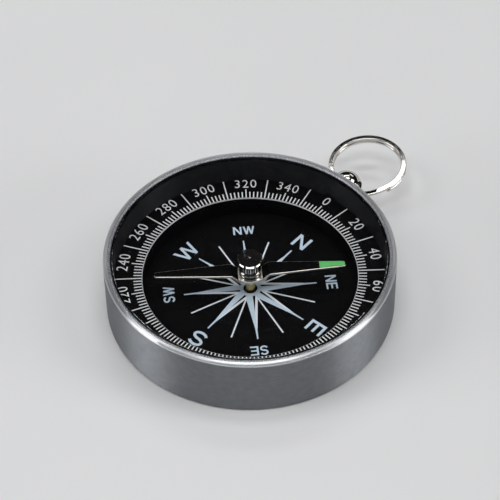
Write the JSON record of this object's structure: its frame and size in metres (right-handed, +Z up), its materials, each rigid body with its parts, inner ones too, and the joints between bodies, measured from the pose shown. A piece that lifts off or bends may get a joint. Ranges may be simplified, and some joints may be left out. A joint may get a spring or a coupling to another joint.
{
  "type": "pocket compass",
  "caption": "Round aluminium pocket compass with a flat crystal over a black dial and raised degree ring, a needle that turns on a point, and a split ring hung on a side stud.",
  "frame": {"origin": "on the needle's axis, on the flat base that the compass lies on", "axes": "+Z up along the needle's axis, out through the crystal; +Y towards the pendant stud and the dial's north; +X towards the dial's east"},
  "size_m": [0.044, 0.0587, 0.0102],
  "materials": {
    "case_aluminium": "satin turned, slightly speckled on the rim",
    "clear_crystal": "clear and polished",
    "dial_black": "matt black, printed in pale blue",
    "ring_black": "matt black moulding, printed in white",
    "post_brass": "plain turned brass",
    "point_steel": "hardened and ground",
    "needle_black": "satin black with bare cut edges",
    "nickel": "bright nickel plate",
    "jewel": "polished bearing cup",
    "luminous_green": "matt luminous film"
  },
  "bodies": {
    "case_body": {"case": "case_aluminium", "crystal": "clear_crystal", "dial": "dial_black", "degree_ring": "ring_black", "pivot_post": "post_brass", "pivot_point": "point_steel", "pendant_stud": "nickel"},
    "needle": {"needle_blade": "needle_black", "needle_cap": "nickel", "cap_jewel": "jewel", "north_marker": "luminous_green"},
    "ring": {"split_ring": "nickel"}
  },
  "joints": [
    {"name": "needle_turn", "type": "hinge", "parent": "case_body", "child": "needle", "pos_m": [0, 0, 0.0079], "axis": [0, 0, 1], "continuous": true},
    {"name": "ring_swing", "type": "hinge", "parent": "case_body", "child": "ring", "pos_m": [0, 0.02483, 0.00435], "axis": [1, 0, 0], "range_deg": [-125, 108]}
  ]
}
